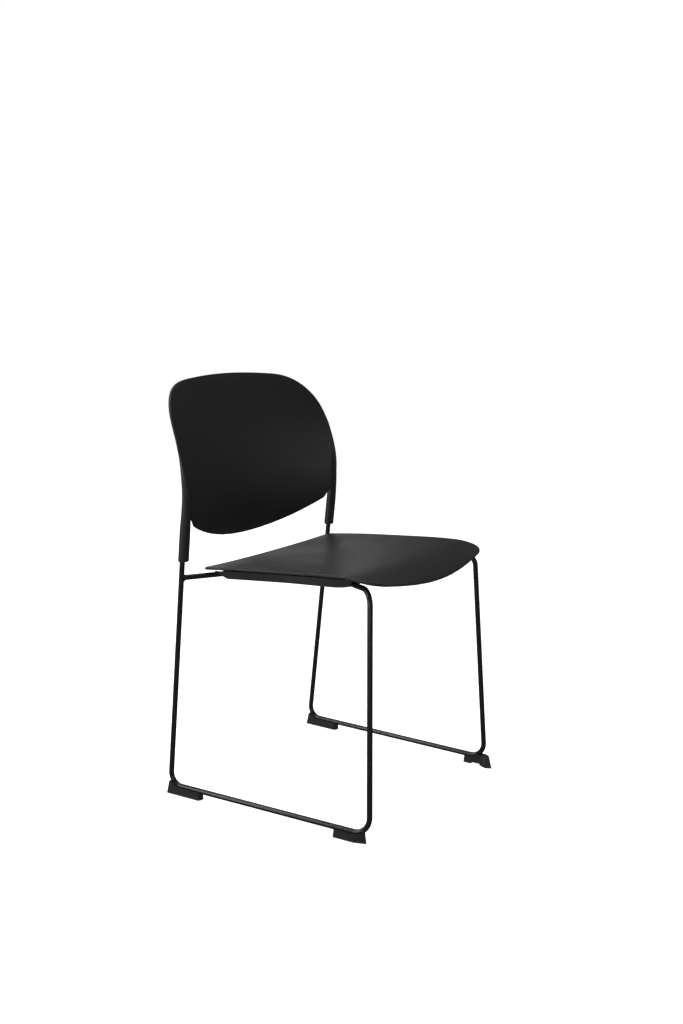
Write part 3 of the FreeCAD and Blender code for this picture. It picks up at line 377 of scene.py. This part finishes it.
@dataclass(frozen=True)
class ZincPlatedSteel(Finish):
    """Screws under bright zinc, faintly cloudy where the plating took unevenly."""

    cloud_mm: float = 1.5
    cloud_colour: str = "#c9ccce"
    glossier: float = 0.08
    duller: float = 0.1

    def fill(self, tree: bpy.types.NodeTree, shader: bpy.types.Node,
             place: bpy.types.NodeSocket) -> None:
        """Lay out the cloudy plating.

        Args:
            tree: Node tree of the material.
            shader: Its Principled shader.
            place: Object coordinates in metres.
        """
        cloud = add_node(tree, "ShaderNodeTexNoise", Vector=place, Scale=per_metre(self.cloud_mm),
                         Detail=4.0, Roughness=0.6)
        tone = add_node(tree, "ShaderNodeMix", {"data_type": "RGBA"}, _0=cloud.outputs["Fac"],
                        _6=linear_colour(self.colour), _7=linear_colour(self.cloud_colour))
        gloss = add_node(tree, "ShaderNodeMapRange", Value=cloud.outputs["Fac"],
                         From_Min=NOISE_LOW, From_Max=NOISE_HIGH,
                         To_Min=self.roughness - self.glossier,
                         To_Max=self.roughness + self.duller)
        tree.links.new(tone.outputs[MIXED_COLOUR], shader.inputs["Base Color"])
        tree.links.new(gloss.outputs["Result"], shader.inputs["Roughness"])
        shader.inputs["Metallic"].default_value = 1.0


@dataclass(frozen=True)
class StudioPaper(Finish):
    """Matt white background paper that the lights wash out to plain white."""

    cloud_mm: float = 900.0
    cloud_colour: str = "#f6f6f6"
    wash: float = 0.9

    def fill(self, tree: bpy.types.NodeTree, shader: bpy.types.Node,
             place: bpy.types.NodeSocket) -> None:
        """Lay out the paper's faint unevenness and its wash of light.

        Args:
            tree: Node tree of the material.
            shader: Its Principled shader.
            place: Object coordinates in metres.
        """
        cloud = add_node(tree, "ShaderNodeTexNoise", Vector=place,
                         Scale=per_metre(self.cloud_mm), Detail=2.0)
        tone = add_node(tree, "ShaderNodeMix", {"data_type": "RGBA"}, _0=cloud.outputs["Fac"],
                        _6=linear_colour(self.colour), _7=linear_colour(self.cloud_colour))
        tree.links.new(tone.outputs[MIXED_COLOUR], shader.inputs["Base Color"])
        shader.inputs["Roughness"].default_value = self.roughness
        shader.inputs["Emission Color"].default_value = linear_colour(WHITE)
        shader.inputs["Emission Strength"].default_value = self.wash
        # From below the paper is clear, so that the underside of the chair can be looked at.
        below = add_node(tree, "ShaderNodeNewGeometry").outputs["Backfacing"]
        clear = add_node(tree, "ShaderNodeBsdfTransparent")
        sided = add_node(tree, "ShaderNodeMixShader", _0=below, _1=shader.outputs["BSDF"],
                         _2=clear.outputs["BSDF"])
        output = next(node for node in tree.nodes if node.type == "OUTPUT_MATERIAL")
        tree.links.new(sided.outputs["Shader"], output.inputs["Surface"])


def edge_mask(tree: bpy.types.NodeTree, radius: float) -> bpy.types.NodeSocket:
    """Find the sharp edges of a surface by comparing its normal with a rounded one.

    Args:
        tree: Node tree of the material.
        radius: How far from an edge the mask reaches, in metres.

    Returns:
        A socket that is 0 on open faces and rises towards 1 on edges.
    """
    rounded = add_node(tree, "ShaderNodeBevel", {"samples": 4}, Radius=radius)
    flat = add_node(tree, "ShaderNodeNewGeometry")
    agree = add_node(tree, "ShaderNodeVectorMath", {"operation": "DOT_PRODUCT"},
                     _0=rounded.outputs["Normal"], _1=flat.outputs["Normal"])
    mask = add_node(tree, "ShaderNodeMapRange", Value=agree.outputs["Value"],
                    From_Min=FACE_AGREEMENT, From_Max=EDGE_AGREEMENT, To_Min=0.0, To_Max=1.0)
    return mask.outputs["Result"]


# Sub-assemblies

@dataclass
class SubAssembly:
    """Pieces that share a finish, and the record's slot that names it."""

    nodes: tuple[str, ...]
    finish: Finish
    record_slot: RecordSlot

    def build(self, frame: dict[str, Any]) -> list[bpy.types.Object]:
        """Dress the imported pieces.


        Returns:
            Every piece that was dressed.
        """
        material = self.finish.material()
        pieces = [frame["nodes"][name] for name in self.nodes]
        for piece in pieces:
            self.dress(piece, material)
        return pieces

    def dress(self, piece: bpy.types.Object, material: bpy.types.Material) -> None:
        """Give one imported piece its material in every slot.

        Args:
            piece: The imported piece.
            material: The finish's material.
        """
        for slot in piece.material_slots:
            slot.material = material


def copy_of_node(frame: dict[str, Any], node: str, name: str) -> bpy.types.Object:
    """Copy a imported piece, so that the copy can be shaped and shown in its stead.

    Args:
        node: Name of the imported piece.
        name: Name of the copy.

    Returns:
        The copy, riding on the chair.
    """
    packed = frame["nodes"][node]
    data = packed.data.copy()
    data.transform(packed.matrix_world)
    data.name = name
    piece = bpy.data.objects.new(name, data)
    bpy.context.scene.collection.objects.link(piece)
    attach(piece, BODY)
    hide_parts(node)
    return piece


def merged_mesh(piece: bpy.types.Object) -> bmesh.types.BMesh:
    """Read a copied piece into a bmesh and join the points that its loose triangles share.

    Args:
        piece: The copied piece.

    Returns:
        The joined mesh, which the caller writes back and frees.
    """
    solid = bmesh.new()
    solid.from_mesh(piece.data)
    bmesh.ops.remove_doubles(solid, verts=solid.verts, dist=WELD_DISTANCE)
    return solid


def smooth_step(value: float, start: float, end: float) -> float:
    """Rise smoothly from 0 at start to 1 at end."""
    share = min(max((value - start) / (end - start), 0.0), 1.0)
    return share * share * (3 - 2 * share)


def height_at(line: list[tuple[float, float]], across: float) -> float:
    """Read a height off a line of points.

    Args:
        line: Distances and heights in rising order of distance.
        across: Distance to read at.

    Returns:
        The height there, between the two nearest points.
    """
    for (near, low), (far, high) in zip(line, line[1:]):
        if across <= far:
            share = min(max((across - near) / (far - near), 0.0), 1.0)
            return low + share * (high - low)
    return line[-1][1]


@dataclass
class RodFrame(SubAssembly):
    """Two bent rods with the cross bars and tabs between them."""

    nodes: tuple[str, ...] = (
        "side_rod_left", "side_rod_right", "cross_bar_front", "cross_bar_rear",
        "seat_tab_front_left", "seat_tab_front_right", "seat_tab_rear_left",
        "seat_tab_rear_right",
    )
    finish: Finish = PowderCoat("black_powder_coat", "#121212", 0.22)
    record_slot: RecordSlot = RecordSlot.FRAME


@dataclass
class WeldBeads(SubAssembly):
    """The beads that join the bars and runs of the frame."""

    nodes: tuple[str, ...] = ("post_weld_beads", "cross_bar_weld_beads")
    finish: Finish = PaintedWeld("powder_coated_weld", "#121212", 0.3)
    record_slot: RecordSlot = RecordSlot.FRAME


@dataclass
class Seat(SubAssembly):
    """The moulded seat shell."""

    nodes: tuple[str, ...] = ("seat_shell",)
    # The pale rim colour paints a highlight along the seat's edge, with some rubbing.
    finish: Finish = MouldedPolypropylene(
        "black_polypropylene_seat", "#141414", 0.4, rim_colour="#585858", rim_mm=1.8)
    record_slot: RecordSlot = RecordSlot.SEAT


@dataclass
class UnderSeatCover(SubAssembly):
    """The moulded pan that closes the seat from below."""

    nodes: tuple[str, ...] = ("under_seat_cover",)
    finish: Finish = MouldedPolypropylene("black_polypropylene_cover", "#1e1e1e", 0.48)
    record_slot: RecordSlot = RecordSlot.COVER


@dataclass
class Backrest(SubAssembly):
    """The moulded back with the sockets that take the posts.

    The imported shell's lower edge waves by up to 3 mm about the true one, which is an even arc
    from socket to socket, so the shell is copied and its lower edge made fair.
    """

    nodes: tuple[str, ...] = ("backrest_shell",)
    finish: Finish = MouldedPolypropylene("black_polypropylene_back", "#121212", 0.45)
    record_slot: RecordSlot = RecordSlot.BACK
    edge_bottom_mm: float = 475.8
    edge_radius_mm: float = 515.0
    edge_half_width_mm: float = 211.0
    edge_fade_mm: float = 9.0
    edge_reach_mm: float = 75.0
    sample_mm: float = 10.0

    def build(self, frame: dict[str, Any]) -> list[bpy.types.Object]:
        """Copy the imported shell, make its lower edge fair and dress it.


        Returns:
            The new shell.
        """
        shell = copy_of_node(frame, self.nodes[0], "backrest_shell_fair")
        solid = merged_mesh(shell)
        self.make_edge_fair(solid)
        solid.to_mesh(shell.data)
        solid.free()
        self.dress(shell, self.finish.material())
        return [shell]

    def make_edge_fair(self, solid: bmesh.types.BMesh) -> None:
        """Move the shell near its lower edge so that the edge follows its arc.

        Args:
            solid: The shell's mesh, which is changed.
        """
        packed = self.packed_edge(solid)
        reach = metres(self.edge_reach_mm)
        half_width = metres(self.edge_half_width_mm)
        fade = metres(self.edge_fade_mm)
        for vertex in solid.verts:
            across = abs(vertex.co.x)
            if across > half_width + fade:
                continue
            edge = height_at(packed, across)
            above = vertex.co.z - edge
            if above > reach:
                continue
            share = 1 - smooth_step(above, 0.0, reach)
            share *= 1 - smooth_step(across, half_width, half_width + fade)
            vertex.co.z += share * (self.arc_height(across) - edge)

    def arc_height(self, across: float) -> float:
        """Height of the fair edge at a distance from the middle, in metres."""
        radius = metres(self.edge_radius_mm)
        return metres(self.edge_bottom_mm) + radius - math.sqrt(radius ** 2 - across ** 2)

    def packed_edge(self, solid: bmesh.types.BMesh) -> list[tuple[float, float]]:
        """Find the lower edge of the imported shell.

        Args:
            solid: The shell's mesh.

        Returns:
            Distances from the middle and heights, from the middle outwards.
        """
        step = metres(self.sample_mm)
        count = round((metres(self.edge_half_width_mm) + metres(self.edge_fade_mm)) / step) + 1
        lowest: dict[int, tuple[float, float]] = {}
        for vertex in solid.verts:
            across = abs(vertex.co.x)
            number = round(across / step)
            if number < count and (number not in lowest or vertex.co.z < lowest[number][1]):
                lowest[number] = (across, vertex.co.z)
        return sorted(lowest.values())


@dataclass
class GlideSet(SubAssembly):
    """The four clip-on feet."""

    nodes: tuple[str, ...] = (
        "glide_front_left", "glide_front_right", "glide_rear_left", "glide_rear_right",
    )
    finish: Finish = MouldedNylon("dark_nylon_glide", "#121212", 0.55)
    record_slot: RecordSlot = RecordSlot.GLIDE


@dataclass
class Screws(SubAssembly):
    """Seat, cover and socket screws."""

    nodes: tuple[str, ...] = ("seat_screws", "cover_screws", "socket_screws")
    finish: Finish = ZincPlatedSteel("zinc_plated_screw", "#a8abad", 0.35)
    record_slot: RecordSlot = RecordSlot.SCREW


# Studio

@dataclass
class Lamp:
    """One soft box: where it hangs, what it faces, how large and how strong it is.

    Places and sizes are in metres and the power is in watts.
    """

    name: str
    place: tuple[float, float, float]
    target: tuple[float, float, float]
    width: float
    height: float
    power: float

    def build(self) -> bpy.types.Object:
        """Hang the soft box.

        Returns:
            The lamp's object.
        """
        data = bpy.data.lights.new(self.name, "AREA")
        data.shape = "RECTANGLE"
        data.size = self.width
        data.size_y = self.height
        data.energy = self.power
        lamp = bpy.data.objects.new(self.name, data)
        lamp.location = self.place
        aim = Vector(self.target) - Vector(self.place)
        lamp.rotation_mode = "QUATERNION"
        lamp.rotation_quaternion = aim.to_track_quat("-Z", "Y")
        lamp.visible_camera = False
        bpy.context.scene.collection.objects.link(lamp)
        return lamp


@dataclass
class Studio:
    """Pale floor, soft light and the camera.

    Places are in metres and the camera's angles are in degrees, as solved from the photograph.
    The room is dimmer low down and brighter high up: its light rises between two slopes of the
    direction it comes from.
    """

    floor_size: float = 60.0
    room_from: float = -0.1
    room_to: float = 0.8
    room_low_light: float = 0.09
    room_high_light: float = 0.16
    camera_place: tuple[float, float, float] = (-1.86476, -1.25766, 0.91181)
    camera_azimuth: float = -56.61
    camera_elevation: float = 9.495
    focal_length_px: float = 1186.84
    sensor_mm: float = 36.0
    centre_px: tuple[float, float] = (342.0, 511.1)
    nearest_view: float = 0.05
    farthest_view: float = 100.0
    lamps: tuple[Lamp, ...] = (
        Lamp("overhead_soft_box", (0.1, 0.7, 2.9), (0.0, 0.0, 0.45), 2.4, 2.2, 33.0),
        Lamp("rear_soft_box", (1.9, 2.35, 1.0), (0.0, 0.0, 0.45), 2.2, 1.2, 4.8),
        Lamp("rear_high_soft_box", (-0.6, 2.9, 2.1), (0.0, 0.0, 0.5), 1.6, 1.2, 24.0),
        Lamp("left_low_soft_box", (-2.3, 1.7, 0.5), (0.0, 0.0, 0.45), 1.4, 0.9, 14.0),
        Lamp("left_high_strip", (-1.9, 1.6, 1.9), (0.0, 0.0, 0.4), 0.35, 1.3, 16.0),
        Lamp("front_soft_box", (1.5, -2.5, 0.9), (0.0, 0.0, 0.6), 0.8, 1.4, 6.0),
        Lamp("camera_side_fill", (-2.7, -1.2, 0.5), (0.0, 0.0, 0.35), 1.4, 0.9, 8.0),
    )

    def build(self) -> None:
        """Lay the floor, hang the lamps, fill the room with light and place the camera."""
        self.lay_floor()
        for lamp in self.lamps:
            lamp.build()
        self.light_room()
        self.place_camera()

    def lay_floor(self) -> None:
        """Lay the paper, wide enough to meet the horizon."""
        paper = bmesh.new()
        bmesh.ops.create_grid(paper, x_segments=1, y_segments=1, size=self.floor_size / 2)
        bmesh.ops.translate(paper, verts=paper.verts, vec=(0.0, 0.0, -FLOOR_DROP))
        data = bpy.data.meshes.new("studio_floor")
        paper.to_mesh(data)
        paper.free()
        data.materials.append(StudioPaper("white_studio_paper", "#f2f2f2", 0.9).material())
        floor = bpy.data.objects.new("studio_floor", data)
        floor.visible_glossy = False
        bpy.context.scene.collection.objects.link(floor)

    def light_room(self) -> None:
        """Show a white room to the camera and a dimmer one to the surfaces that mirror it."""
        world = bpy.data.worlds.new("studio_room")
        world.use_nodes = True
        tree = world.node_tree
        tree.nodes.clear()
        direction = add_node(tree, "ShaderNodeTexCoord").outputs["Generated"]
        height = add_node(tree, "ShaderNodeSeparateXYZ", Vector=direction)
        walls = add_node(tree, "ShaderNodeMapRange", Value=height.outputs["Z"],
                         From_Min=self.room_from, From_Max=self.room_to,
                         To_Min=self.room_low_light, To_Max=self.room_high_light)
        room = add_node(tree, "ShaderNodeBackground", Color=linear_colour(WHITE),
                        Strength=walls.outputs["Result"])
        paper = add_node(tree, "ShaderNodeBackground", Color=linear_colour(WHITE), Strength=1.0)
        seen = add_node(tree, "ShaderNodeLightPath")
        mixed = add_node(tree, "ShaderNodeMixShader", _0=seen.outputs["Is Camera Ray"],
                         _1=room.outputs[0], _2=paper.outputs[0])
        add_node(tree, "ShaderNodeOutputWorld", Surface=mixed.outputs[0])
        bpy.context.scene.world = world
        bpy.context.scene.view_settings.view_transform = "Standard"

    def place_camera(self) -> None:
        """Stand the camera at the photograph's place, angle and lens."""
        data = bpy.data.cameras.new("photo_camera")
        data.sensor_fit = "AUTO"
        data.sensor_width = self.sensor_mm
        data.lens = self.focal_length_px * self.sensor_mm / PHOTO_HEIGHT
        data.shift_x = (PHOTO_WIDTH / 2 - self.centre_px[0]) / PHOTO_HEIGHT
        data.shift_y = (self.centre_px[1] - PHOTO_HEIGHT / 2) / PHOTO_HEIGHT
        data.clip_start = self.nearest_view
        data.clip_end = self.farthest_view
        data.dof.use_dof = False
        camera = bpy.data.objects.new("photo_camera", data)
        azimuth = math.radians(self.camera_azimuth)
        elevation = math.radians(self.camera_elevation)
        back = Vector((math.sin(azimuth) * math.cos(elevation),
                       -math.cos(azimuth) * math.cos(elevation), math.sin(elevation)))
        camera.location = self.camera_place
        camera.rotation_mode = "QUATERNION"
        camera.rotation_quaternion = (-back).to_track_quat("-Z", "Y")
        bpy.context.scene.collection.objects.link(camera)
        bpy.context.scene.camera = camera


def main() -> None:
    """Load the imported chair, dress it piece by piece and set it in the studio."""
    logging.basicConfig(level=logging.INFO, format="%(name)s: %(message)s")
    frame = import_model()
    for part in (RodFrame(), WeldBeads(), UnderSeatCover(), Seat(), Backrest(), GlideSet(),
                 Screws()):
        for piece in part.build(frame):
            LOG.info("%s, slot %s, in %s", piece.name, part.record_slot.value, part.finish.name)
    Studio().build()


if __name__ == "__main__":
    main()
